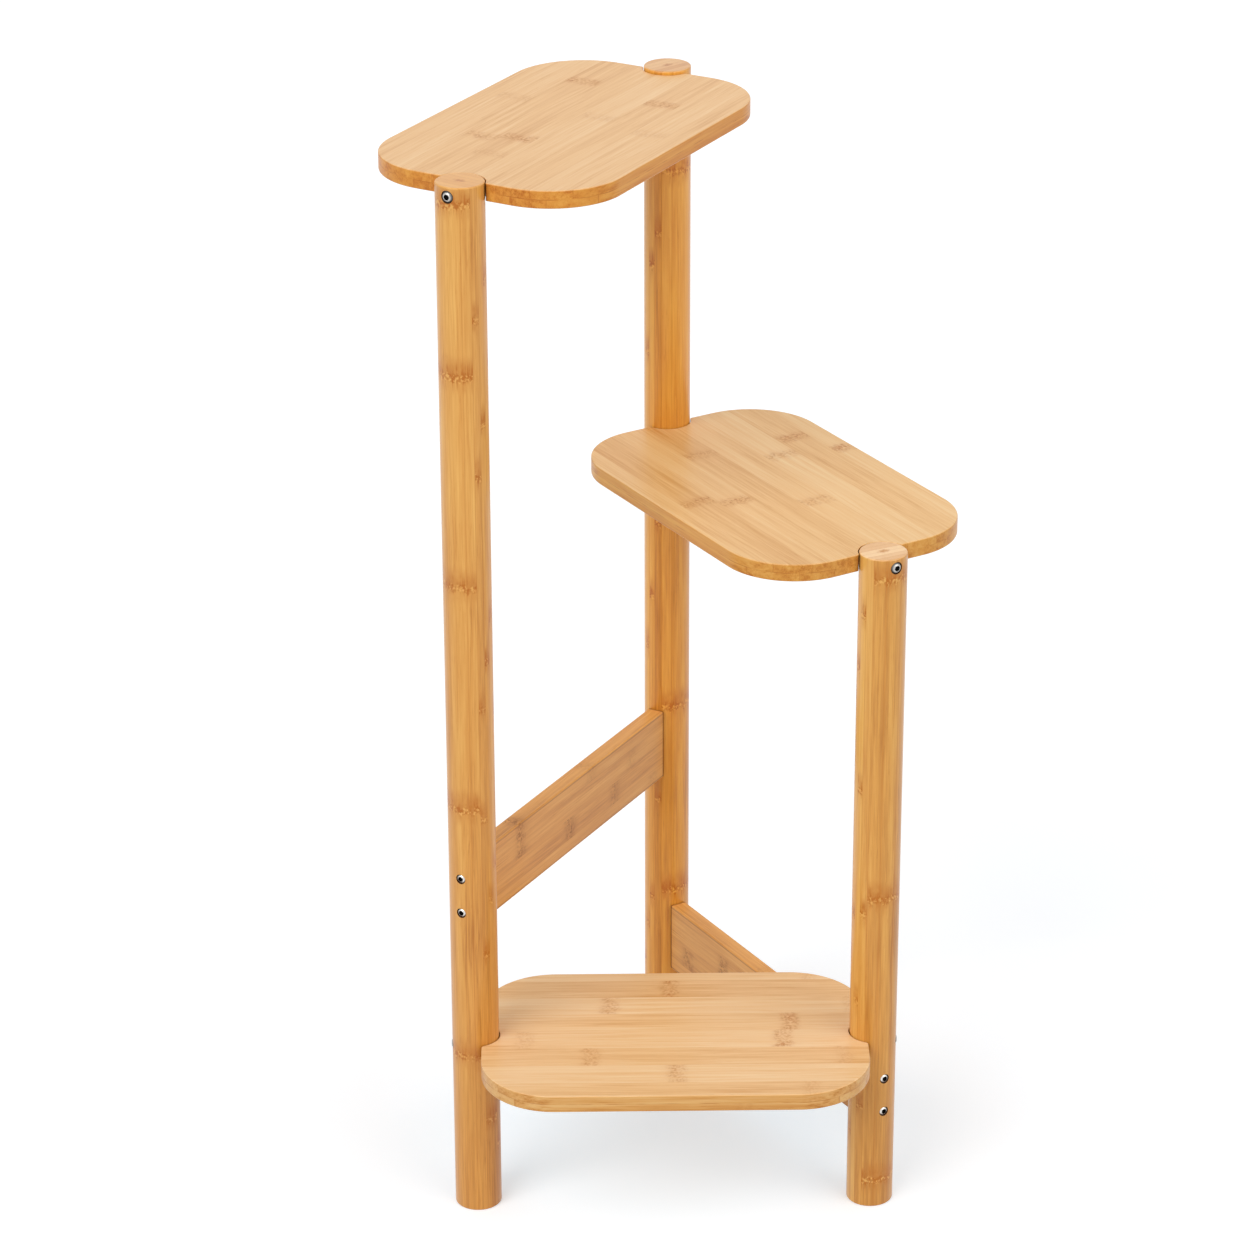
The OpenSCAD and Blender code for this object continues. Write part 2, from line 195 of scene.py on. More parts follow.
class Skin:
    """Points and faces of one piece, gathered as whole arrays. Each point also has a value from
    0 to 1 that says how far it is unlacquered, dulled or darkened with painted shade, as in
    holes, recesses and a bolt's rim and socket: it becomes an attribute that the finishes read."""

    def __init__(self):
        self.points = np.zeros((0, 3))
        self.bare_and_shade = np.zeros(0)
        self.faces = []

    def put(self, points, bare_and_shade=0.0):
        """Adds an array of points and gives their numbers in the same layout."""
        points = np.asarray(points, float)
        numbers = len(self.points) + np.arange(points[..., 0].size).reshape(points.shape[:-1])
        self.points = np.concatenate([self.points, points.reshape(-1, 3)])
        self.bare_and_shade = np.concatenate([self.bare_and_shade, np.broadcast_to(bare_and_shade, numbers.shape).ravel()])
        return numbers

    def net(self, numbers, windows=()):
        """Four-sided faces between the neighbours in a grid, apart from the windows' cells."""
        cells = np.stack([numbers[:-1, :-1], numbers[:-1, 1:], numbers[1:, 1:], numbers[1:, :-1]],
                         axis=-1)
        kept = np.ones(cells.shape[:2], bool)
        for row, column in windows:
            kept[row - HALF_WINDOW:row + HALF_WINDOW,
                 column - HALF_WINDOW:column + HALF_WINDOW] = False
        self.faces.extend(cells[kept].tolist())

    def band(self, ring, other):
        """Faces between two closed rings of as many points."""
        self.net(np.stack([np.append(ring, ring[0]), np.append(other, other[0])]))

    def fan(self, ring, hub, bare_and_shade=0.0):
        """Three-sided faces from a closed ring to a point in its middle."""
        hub = int(self.put([hub], bare_and_shade)[0])
        self.faces.extend([a, b, hub] for a, b in zip(ring.tolist(), np.roll(ring, -1).tolist()))

    def window_border(self, numbers, row, column):
        """The numbers round the edge of a square window in a grid, in no special order."""
        patch = numbers[row - HALF_WINDOW:row + HALF_WINDOW + 1,
                        column - HALF_WINDOW:column + HALF_WINDOW + 1]
        inside = np.zeros(patch.shape, bool)
        inside[1:-1, 1:-1] = True
        return patch[~inside]

    def open_hole(self, place, numbers, window, surface, radius):
        """Fills a window down to a round hole. Seen along the hole's axis, each ring lies a
        share of the way from the circle to the window's border, and `surface` gives how far
        along the axis the surface lies there. Gives the circle's points and their angles."""
        border = self.window_border(numbers, *window)
        flat = place.local(self.points[border])[:, 1:]
        angle = np.arctan2(flat[:, 1], flat[:, 0])
        order = in_turn(angle)
        border, flat, angle = border[order], flat[order], angle[order]
        circle = radius * np.stack([np.cos(angle), np.sin(angle)], axis=1)
        for share in (0.6, 0.25, 0.0):
            seen = circle + share * (flat - circle)
            ring = self.put(place.world(np.column_stack([surface(seen), seen])))
            self.band(border, ring)
            border = ring
        return border, angle

    def bore(self, place, ring, angle, steps):
        """Carries a ring along a bore: each step gives a radius and a place on the axis. The bore's
        walls are dark, as unlacquered wood with painted shade.
        """
        for radius, along in steps:
            deeper = self.put(place.ring(along, radius, angle), 1.0)
            self.band(ring, deeper)
            ring = deeper
        return ring

    def insert_hole(self, place, numbers, window, surface, kind):
        """Opens a window to an insert's blind hole, whose end is flat and, like its wall, dark with
        painted shade.
        """
        ring, angle = self.open_hole(place, numbers, window, surface, INSERT_HOLE_R[kind])
        end = -BOARD_START[kind] - INSERT_HOLE_DEPTH
        ring = self.bore(place, ring, angle, [(INSERT_HOLE_R[kind], end)])
        self.fan(ring, place.world([end, 0, 0]), 1.0)

    def piece(self, name, finish, slot, *nodes):
        """Makes the object, its faces outward, puts it under the root and hides the parts that it
        stands for.
        """
        mesh = bpy.data.meshes.new(name)
        mesh.from_pydata((self.points * MM).tolist(), [], self.faces)
        mesh.attributes.new("bare_and_shade", "FLOAT", "POINT").data.foreach_set("value", self.bare_and_shade)
        work = bmesh.new()
        work.from_mesh(mesh)
        bmesh.ops.recalc_face_normals(work, faces=work.faces[:])
        work.to_mesh(mesh)
        work.free()
        mesh.polygons.foreach_set("use_smooth", np.ones(len(mesh.polygons), bool))
        mesh.set_sharp_from_angle(angle=CREASE)
        mesh.materials.append(finish)
        made = add_object(name, mesh)
        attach(made, "root")
        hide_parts(*nodes)


def round_wall(radius, side):
    """How far along a joint's axis a wall lies that is round about the post, over a place
    seen along that axis. The board is on side -1."""
    return lambda seen: side * np.sqrt(radius ** 2 - seen[:, 0] ** 2)


def quarter(steps):
    """Angles of a quarter turn in equal steps, both ends included."""
    return np.linspace(0, pi / 2, steps + 1)


# Posts

# A post's mesh: its columns, about how far apart its rings are, the steps of its edge's arc
# and half a window
POST_COLUMNS = 180
POST_RING_STEP = 16
POST_ARC_STEPS = 8
POST_WINDOW_HALF = 6.2
WELL_EDGE = 0.15


def post_heights(low, high, bolts):
    """Heights of a post's rings, in equal steps across each bolt's window and between the
    windows, and which ring is the middle of each window."""
    heights = [low]
    middles = {}
    for bolt in sorted(bolts) + [None]:
        stop = high if bolt is None else bolt - POST_WINDOW_HALF
        steps = max(1, round((stop - heights[-1]) / POST_RING_STEP))
        heights.extend(np.linspace(heights[-1], stop, steps + 1)[1:])
        if bolt is not None:
            middles[bolt] = len(heights) - 1 + HALF_WINDOW
            heights.extend(np.linspace(stop, bolt + POST_WINDOW_HALF, 2 * HALF_WINDOW + 1)[1:])
    return np.array(heights), middles


def post_surface(number):
    """A turned rod: rings of one radius up its length, which at both ends draw in along a
    quarter circle of the edge's radius and then run flat to the middle. At each bolt a
    window gives way to the head's well on one side and the shank's hole on the other."""
    skin = Skin()
    top = POST_TOP[number]
    joints = [(at_post(post, other, height), kind)
              for post, other, heights, kind in JOINTS.values() if post == number
              for height in heights]
    straight, middles = post_heights(POST_EDGE_R, top - POST_EDGE_R,
                                     [place.origin[2] for place, kind in joints])
    arc = quarter(POST_ARC_STEPS)[:-1]
    inner = POST_R - POST_EDGE_R
    flat_r = np.array([0.35 * inner, 0.7 * inner, inner - FLAT_MARGIN])
    end_r = np.concatenate([flat_r, inner + POST_EDGE_R * np.sin(arc)])
    end_z = np.concatenate([0 * flat_r, POST_EDGE_R * (1 - np.cos(arc))])
    radii = np.concatenate([end_r, np.full(len(straight), POST_R), end_r[::-1]])
    heights = np.concatenate([end_z, straight, top - end_z[::-1]])

    start = pi / 6
    turn = start + tau * np.arange(POST_COLUMNS) / POST_COLUMNS
    x, y = POST_XY[number]
    grid = skin.put(np.stack([x + np.outer(radii, np.cos(turn)), y + np.outer(radii, np.sin(turn)),
                              np.repeat(heights[:, None], POST_COLUMNS, axis=1)], axis=2))
    grid = np.column_stack([grid, grid[:, 0]])

    def window_at(place, half):
        column = round(((place.turn + half - start) % tau) / tau * POST_COLUMNS)
        return len(end_r) + middles[place.origin[2]], column

    holes = [(window_at(place, half), place, kind, half)
             for place, kind in joints for half in (0, pi)]
    skin.net(grid, [hole[0] for hole in holes])
    skin.fan(grid[0, :-1], (x, y, 0))
    skin.fan(grid[-1, :-1], (x, y, top))

    mouths = {}
    for window, place, kind, half in holes:
        shank_r = BOLT_R[kind] + SHANK_CLEAR
        well_r = HEAD_R[kind] + HEAD_CLEAR[kind]
        seat = POST_R - SEAT_DEPTH[kind]
        if half:
            ring, angle = skin.open_hole(place, grid, window, round_wall(POST_R, -1), shank_r)
        else:
            ring, angle = skin.open_hole(place, grid, window, round_wall(POST_R, 1),
                                         well_r + WELL_EDGE)
            lip = np.sqrt(POST_R ** 2 - (well_r * np.cos(angle)) ** 2) - WELL_EDGE
            ring = skin.bore(place, ring, angle, [(well_r, lip), (well_r, seat), (shank_r, seat)])
        mouths[place.origin[2], half] = ring
    for place, kind in joints:
        skin.band(mouths[place.origin[2], 0], mouths[place.origin[2], pi])
    return skin


# Shelves

# Steps along each stretch of a shelf's outline and round its eased edge
NOTCH_STEPS = 70
CORNER_STEPS = 44
LONG_SIDE_STEPS = 14
END_STEPS = 6
MOUTH_STEPS = 8
EASED_STEPS = 6

SHELF_WINDOW_HALF = 5.9
# How dark a notch's wall is: unlacquered wood with painted shade
NOTCH_SHADE = 0.8


def shelf_outline():
    """Seen from above, counter-clockwise: each side as points, outward directions and the
    radius of the eased edge there. Straight sides join corner arcs; at each end a mouth arc
    leads into the notch, an arc round the post's centre line that runs the other way, and
    a second mouth arc leads out. The left half is the right half turned half round."""
    half_l = POST_PITCH / 2 - SHELF_END_INSET
    half_w = SHELF_W / 2
    corner = np.array([half_l - SHELF_CORNER_R, half_w - SHELF_CORNER_R])
    mouth_x = half_l - NOTCH_MOUTH_R
    mouth_y = sqrt((NOTCH_R + NOTCH_MOUTH_R) ** 2 - (POST_PITCH / 2 - mouth_x) ** 2)
    lean = atan2(mouth_y, POST_PITCH / 2 - mouth_x)
    rows = []

    def side(start, end, steps, out):
        share = np.arange(steps)[:, None] / steps
        points = np.array(start) + share * (np.array(end) - start)
        outward = np.tile(out, (steps, 1))
        rows.append(np.column_stack([points, outward, np.full(steps, SHELF_EDGE_R)]))

    def bend(centre, radius, start, end, steps, edges, hollow=1):
        share = np.arange(steps) / steps
        angle = start + share * (end - start)
        ray = np.stack([np.cos(angle), np.sin(angle)], axis=1)
        edge = edges[0] + share * (edges[1] - edges[0])
        rows.append(np.column_stack([centre + radius * ray, hollow * ray, edge]))

    eased = (SHELF_EDGE_R, SHELF_EDGE_R)
    side((0, -half_w), (corner[0], -half_w), LONG_SIDE_STEPS, (0, -1))
    bend((corner[0], -corner[1]), SHELF_CORNER_R, -pi / 2, 0, CORNER_STEPS, eased)
    side((half_l, -corner[1]), (half_l, -mouth_y), END_STEPS, (1, 0))
    bend((mouth_x, -mouth_y), NOTCH_MOUTH_R, 0, lean, MOUTH_STEPS, (SHELF_EDGE_R, NOTCH_EDGE_R))
    notch_column = sum(len(row) for row in rows) + NOTCH_STEPS // 2
    bend((POST_PITCH / 2, 0), NOTCH_R, pi + lean, pi - lean, NOTCH_STEPS, (NOTCH_EDGE_R,) * 2, -1)
    bend((mouth_x, mouth_y), NOTCH_MOUTH_R, -lean, 0, MOUTH_STEPS, (NOTCH_EDGE_R, SHELF_EDGE_R))
    side((half_l, mouth_y), (half_l, corner[1]), END_STEPS, (1, 0))
    bend(corner, SHELF_CORNER_R, 0, pi / 2, CORNER_STEPS, eased)
    side((corner[0], half_w), (0, half_w), LONG_SIDE_STEPS, (0, 1))
    right = np.concatenate(rows)
    left = right * [-1, -1, -1, -1, 1]
    return np.concatenate([right, left]), (notch_column, notch_column + len(right))


def shelf_surface(start, end, height):
    """A board: the outline carried along the edge's profile. From the middle of the upper
    face the rings grow to the eased edge, go round its quarter circle, down the side, round
    the lower quarter circle and back to the middle of the underside. A notch's wall is
    left unlacquered and dark with painted shade, and that painted shadow fades out over its mouth."""
    skin = Skin()
    outline, notches = shelf_outline()
    points, out, ease = outline[:, :2], outline[:, 2:4], outline[:, 4:]
    window_rows = -SHELF_T / 2 + np.linspace(SHELF_WINDOW_HALF, -SHELF_WINDOW_HALF,
                                             2 * HALF_WINDOW + 1)
    flat = points - out * (ease + FLAT_MARGIN)
    upper = [np.column_stack([flat * share, 0 * ease]) for share in (0.3, 0.6, 0.85, 1)]
    upper += [np.column_stack([points - out * ease * (1 - sin(a)), -ease * (1 - cos(a))])
              for a in quarter(EASED_STEPS)]
    lower = [ring * [1, 1, -1] - [0, 0, SHELF_T] for ring in upper[::-1]]
    middle = [np.column_stack([points, 0 * ease + z]) for z in window_rows]
    board = between(start, end, height)
    # Painted shade: dark on a notch's wall, fading out across the arcs of its mouth
    from_notch = np.hypot(POST_PITCH / 2 - abs(points[:, 0]), points[:, 1]) - NOTCH_R
    dark = NOTCH_SHADE * np.clip(1 - from_notch / NOTCH_MOUTH_R, 0, 1)
    on_wall = np.arange(len(upper) * 2 + len(middle))[:, None] >= len(upper)
    grid = skin.put(board.world(np.stack(upper + middle + lower)), dark * on_wall)
    grid = np.column_stack([grid, grid[:, 0]])
    row = len(upper) + HALF_WINDOW
    skin.net(grid, [(row, column) for column in notches])
    skin.fan(grid[0, :-1], board.world([0, 0, 0]))
    skin.fan(grid[-1, :-1], board.world([0, 0, -SHELF_T]))
    for column, (near, far) in zip(notches, ((end, start), (start, end))):
        place = at_post(near, far, height - SHELF_T / 2)
        skin.insert_hole(place, grid, (row, column), round_wall(NOTCH_R, -1), SHELF)
    return skin


# Rails

# A rail's mesh: the points of half a corner's arc, half a window, the heights of the rows
# outside and between the windows, and the rings along the bar
EIGHTH_POINTS = 4
RAIL_WINDOW_HALF = 5.4
RAIL_OUTER_Z = 26
RAIL_INNER_Z = [-5, 0, 5]
RAIL_RINGS = 13

# The middle row and column of the lower and the upper window in the grid over a section
RAIL_WINDOWS = [(EIGHTH_POINTS + 1 + HALF_WINDOW + rows_up, EIGHTH_POINTS + HALF_WINDOW)
                for rows_up in (0, 2 * HALF_WINDOW + 1 + len(RAIL_INNER_Z))]


def rail_border(half_t, half_h, edge_r):
    """The four sides of a rail's section, each from the middle of one corner's arc to the
    middle of the next: an eighth of a circle, a straight run and another eighth. Up the
    tall sides, the straight run has the rows of two windows."""
    eighth = np.linspace(0, pi / 4, EIGHTH_POINTS)
    across = np.linspace(-RAIL_WINDOW_HALF, RAIL_WINDOW_HALF, 2 * HALF_WINDOW + 1)
    low = -RAIL_BOLT_GAP / 2 + across
    up = np.concatenate([[-RAIL_OUTER_Z], low, RAIL_INNER_Z, -low[::-1], [RAIL_OUTER_Z]])

    def run(half_a, half_b, inner):
        start = np.stack([-half_a + edge_r - edge_r * np.sin(eighth[::-1]),
                          -half_b + edge_r - edge_r * np.cos(eighth[::-1])], axis=1)
        straight = np.stack([inner, 0 * inner - half_b], axis=1)
        return np.concatenate([start, straight, start[::-1] * [-1, 1]])

    bottom = run(half_t, half_h, across)
    left = run(half_h, half_t, up)[:, ::-1]
    return bottom, bottom * [1, -1], left, left * [-1, 1]


def rail_section(half_t, half_h, edge_r):
    """A grid over a rail's section, filled between its four sides: the blend of the lower
    and upper sides, plus the blend of the left and right ones, less that of the corners."""
    bottom, top, left, right = rail_border(half_t, half_h, edge_r)
    p = ((bottom[:, 0] - bottom[0, 0]) / (bottom[-1, 0] - bottom[0, 0]))[None, :, None]
    q = ((left[:, 1] - left[0, 1]) / (left[-1, 1] - left[0, 1]))[:, None, None]
    corners = ((1 - p) * (1 - q) * bottom[0] + p * (1 - q) * bottom[-1]
               + (1 - p) * q * top[0] + p * q * top[-1])
    return (1 - q) * bottom + q * top + (1 - p) * left[:, None] + p * right[:, None] - corners


def rim(grid):
    """The outer rows and columns of a grid as one closed ring."""
    return np.concatenate([grid[0, :-1], grid[:-1, -1], grid[-1, :0:-1], grid[:0:-1, 0]])


def cope(seen):
    """How far along a joint's axis the rail's end lies: on a circle about the post where
    the end is hollowed, and on a flat face beside that."""
    lip = COPE_R - COPE_DEPTH
    return -np.maximum(np.sqrt(np.maximum(COPE_R ** 2 - seen[..., 0] ** 2, 0)), lip)


def rail_surface(start, end, middle_z):
    """A flat bar: its section carried from one hollowed end to the other, with a small
    break round each end and two insert holes in it."""
    skin = Skin()
    faces = []
    for near, far in ((end, start), (start, end)):
        place = at_post(near, far, middle_z)
        inner = rail_section(RAIL_T / 2 - RAIL_END_BREAK, RAIL_H / 2 - RAIL_END_BREAK,
                             RAIL_EDGE_R - RAIL_END_BREAK)
        outer = rim(rail_section(RAIL_T / 2, RAIL_H / 2, RAIL_EDGE_R))
        grid = skin.put(place.world(np.concatenate([cope(inner)[..., None], inner], axis=2)))
        skin.net(grid, RAIL_WINDOWS)
        for window, shift in zip(RAIL_WINDOWS, RAIL_PAIR):
            skin.insert_hole(at_post(near, far, middle_z + shift), grid, window, cope, RAIL)
        edge = skin.put(place.world(np.column_stack([cope(outer) - RAIL_END_BREAK, outer])))
        skin.band(rim(grid), edge)
        faces.append(edge)

    board = between(start, end, middle_z)

    def in_order(ring):
        seen = board.local(skin.points[ring])[:, 1:]
        return ring[in_turn(np.arctan2(seen[:, 1], seen[:, 0]))]

    first, last = (in_order(edge) for edge in faces)
    ring = first
    for share in np.linspace(0, 1, RAIL_RINGS)[1:-1]:
        following = skin.put(skin.points[first] * (1 - share) + skin.points[last] * share)
        skin.band(ring, following)
        ring = following
    skin.band(ring, last)
    return skin


# Bolts

# A bolt's mesh: the dome's rings as shares of the head's radius, and the rings that change
# from there to the socket as shares of the way
BOLT_SIDES = 96
DOME_SHARES = [0.97, 0.9, 0.8, 0.7]
SOCKET_SHARES = [0.4, 0.75, 1]
CONE_DEPTH = 0.5

# Each bolt's socket is turned by this much more than the last one's
SOCKET_TURN = 0.3

# Which rows of a bolt, counted from its tip, form its rim, and how dark these and the
# rows beside them are painted: painted shade on the rim, which faces the dark well, and a
# little painted shade over the rest of a shelf bolt
RIM_ROWS = [range(4, 11), range(4, 9)]
RIM_SHADE = 0.75
BODY_SHADE = [0.3, 0.0]


def hexagon_r(angle):
    """Distance from the middle of a socket to the edge of its hexagon in a direction."""
    return SOCKET_AF / 2 / np.cos(np.mod(angle, pi / 3) - pi / 6)


def bolt_surface(post, other, heights, kind, turn):
    """A turned bolt on the joint's axis: tip, bevel, shank, the head's rim and a dome that
    is part of a ball. Near the middle the dome's rings change from circles to the socket's
    hexagon, which goes straight down to a shallow cone. The rim and the socket are dark with
    painted shade, and a shelf bolt's dome is a little darker and duller with painted shade."""
    skin = Skin()
    angle = tau * np.arange(BOLT_SIDES) / BOLT_SIDES
    seat = POST_R - SEAT_DEPTH[kind]
    head_r = HEAD_R[kind]
    tip = -BOARD_START[kind] - BOLT_REACH
    shank_r = BOLT_R[kind]
    sag = HEAD_H[kind] - HEAD_RIM_H
    ball_r = (head_r ** 2 + sag ** 2) / (2 * sag)
    crown = seat + HEAD_H[kind]

    def dome(radius):
        return crown - ball_r + np.sqrt(ball_r ** 2 - radius ** 2)

    rows = [(tip, shank_r - TIP_BEVEL), (tip + TIP_BEVEL, shank_r), (seat - 1, shank_r),
            (seat, shank_r), (seat, head_r - HEAD_EDGE), (seat + HEAD_EDGE, head_r),
            (seat + HEAD_RIM_H - 0.12, head_r), (seat + HEAD_RIM_H + 0.02, head_r - 0.04)]
    rows += [(dome(share * head_r), share * head_r) for share in DOME_SHARES]
    hexagon = hexagon_r(angle + turn)
    last_round = DOME_SHARES[-1] * head_r
    for share in SOCKET_SHARES:
        radius = last_round + share * (hexagon + SOCKET_EDGE - last_round)
        rows.append((dome(radius), radius))
    recess = len(rows) - 1
    rows += [(dome(hexagon) - SOCKET_EDGE, hexagon), (crown - SOCKET_DEPTH, hexagon),
             (crown - SOCKET_DEPTH - 0.7 * CONE_DEPTH, 0.45 * hexagon)]

    def shade(row):
        if row >= recess:
            return 1.0
        return RIM_SHADE if row in RIM_ROWS[kind] else BODY_SHADE[kind]

    for height in heights:
        place = at_post(post, other, height)
        rings = [skin.put(place.ring(x, radius, angle), shade(i))
                 for i, (x, radius) in enumerate(rows)]
        for ring, following in zip(rings, rings[1:]):
            skin.band(ring, following)
        skin.fan(rings[0], place.world([tip, 0, 0]))
        cone = [crown - SOCKET_DEPTH - CONE_DEPTH, 0, 0]
        skin.fan(rings[-1], place.world(cone), 1.0)
    return skin


# Finishes

def linear(red, green, blue):
    """A colour as it is seen on a screen, 0 to 255, to the light that it stands for."""
    shares = np.array([red, green, blue]) / 255
    light = np.where(shares > 0.04045, ((shares + 0.055) / 1.055) ** 2.4, shares / 12.92)
    return (*light.tolist(), 1.0)


class Nodes:
    """A tree of nodes under construction. Most methods add a node and give its output."""

    def __init__(self, tree):
        self.tree = tree

    def node(self, kind, feeds=(), **settings):
        made = self.tree.nodes.new("ShaderNode" + kind)
        for key, value in settings.items():
            setattr(made, key, value)
        for key, value in dict(feeds).items():
            self.feed(made.inputs[key], value)
        return made

    def feed(self, socket, value):
        if isinstance(value, bpy.types.NodeSocket):
            self.tree.links.new(value, socket)
        else:
            socket.default_value = value

    def calc(self, operation, *terms, clamp=False):
        return self.node("Math", enumerate(terms), operation=operation, use_clamp=clamp).outputs[0]

    def times(self, first, *others, clamp=False):
        """A product, kept between 0 and 1 if it is clamped."""
        for other in others[:-1]:
            first = self.calc("MULTIPLY", first, other)
        return self.calc("MULTIPLY", first, others[-1], clamp=clamp)

    def slope(self, value, factor, start):
        """A value times a factor, from a start."""
        return self.calc("MULTIPLY_ADD", value, factor, start)

    def size(self, value):
        return self.calc("ABSOLUTE", value)

    def vector(self, operation, *terms):
        made = self.node("VectorMath", enumerate(terms), operation=operation)
        return made.outputs["Value" if operation in ("DOT_PRODUCT", "LENGTH") else "Vector"]

    def stretch(self, at, *lengths):
        """Divides a place by the size of a pattern along each axis."""
        return self.vector("MULTIPLY", at, [1 / length for length in lengths])

    def noise(self, at, lengths, detail=2.0, roughness=0.5):
        """A soft random pattern about 0, whose patches have a length along each axis."""
        made = self.node("TexNoise", {"Vector": self.stretch(at, *lengths), "Scale": 1.0,
                                      "Detail": detail, "Roughness": roughness})
        return self.calc("SUBTRACT", made.outputs[0], 0.5)

    def step(self, value, low, high):
        """Rises smoothly from 0 at `low` to 1 at `high`, or falls if they change places."""
        rises = float(low < high)
        feeds = {0: value, 1: min(low, high), 2: max(low, high), 3: 1 - rises, 4: rises}
        return self.node("MapRange", feeds, interpolation_type="SMOOTHSTEP").outputs[0]

    def total(self, *terms):
        """A sum of terms, each a plain output or a pair of an output and its weight."""
        result = 0.0
        for term in terms:
            pair = isinstance(term, tuple)
            result = self.slope(*term, result) if pair else self.calc("ADD", term, result)
        return result

    def mix(self, share, first, second):
        return self.node("Mix", {0: share, 6: first, 7: second}, data_type="RGBA").outputs[2]

    def split(self, vector):
        return self.node("SeparateXYZ", {0: vector}).outputs

    def join(self, x, y, z):
        return self.node("CombineXYZ", {0: x, 1: y, 2: z}).outputs[0]

    def place_in_mm(self, place=None):
        """Where a point of the piece lies, in the stand's frame or in one that is given."""
        at = self.node("TexCoord").outputs["Object"]
        if place:
            at = self.node("Mapping", {0: at, 1: (place.origin * MM).tolist(),
                                       2: (0, 0, place.turn)}, vector_type="TEXTURE").outputs[0]
        return self.vector("MULTIPLY", at, [1 / MM] * 3)

    def within(self, index, rows):
        """A whole number, kept to the numbers of the rows."""
        return self.calc("MINIMUM", self.calc("MAXIMUM", index, 0.0), len(rows) - 1.0)

    def table(self, index, rows):
        """Looks up a whole-numbered row of four numbers, 0 to 1, in a short list."""
        share = self.calc("DIVIDE", self.calc("ADD", index, 0.5), float(len(rows)))
        made = self.node("ValToRGB", {0: share})
        ramp = made.color_ramp
        ramp.interpolation = "CONSTANT"
        while len(ramp.elements) < len(rows):
            ramp.elements.new(0.5)
        for i, row in enumerate(rows):
            ramp.elements[i].position = i / len(rows)
            ramp.elements[i].color = row
        return made.outputs

    def attribute(self, name):
        return self.node("Attribute", attribute_name=name).outputs["Fac"]

    def seen_rays(self):
        """1 for what the camera sees, straight or in a reflection or through glass; the rest
        of the light gets 0."""
        path = self.node("LightPath").outputs
        seen = self.calc("MAXIMUM", path["Is Camera Ray"], path["Is Glossy Ray"])
        return self.calc("MAXIMUM", seen, path["Is Transmission Ray"])


class Finish(Nodes):
    """A material under construction."""

    def __init__(self, name):
        self.material = bpy.data.materials.new(name)
        self.material.use_nodes = True
        super().__init__(self.material.node_tree)
        self.shader = self.tree.nodes["Principled BSDF"]

    def give(self, socket, value):
        """Sets or links one of the shader's own inputs."""
        self.feed(self.shader.inputs[socket], value)

    def relief(self, strength, depth, height):
        """Bump, whose depth is in millimetres."""
        bump = self.node("Bump", {"Strength": strength, "Distance": depth * MM, "Height": height})
        self.give("Normal", bump.outputs[0])


# What each kind of board has of its own. Its colours, 0 to 255: light, middling and dark
# fibres, and a knuckle's brown. Its marks: the fibres' width and contrast, and how strong a
# knuckle's brown is above its beads and below them, the beads, and the mottled patch about
# them. Last, how dull the lacquer is and how strong its coat
BAMBOO = {
    "shelf": (((255, 222, 174), (243, 197, 137), (213, 151, 78), (190, 112, 24)),
              (1.4, 1.0, 0.1, 0.3, 0.15, 0.52), 0.4, 0.3),
    "post": (((244, 192, 116), (226, 164, 87), (190, 124, 52), (192, 112, 0)),
             (1.0, 1.5, 1.4, 0.9, 0.75, 0.0), 0.42, 0.7),
    "rail": (((238, 183, 110), (221, 158, 86), (186, 120, 56), (146, 84, 26)),
             (1.0, 1.3, 0.4, 0.4, 0.2, 0.42), 0.45, 0.3),
}
# The dark brown of unlacquered wood and of painted shade in holes, recesses and notches
BARE_AND_SHADE_COLOUR = (84, 48, 22)


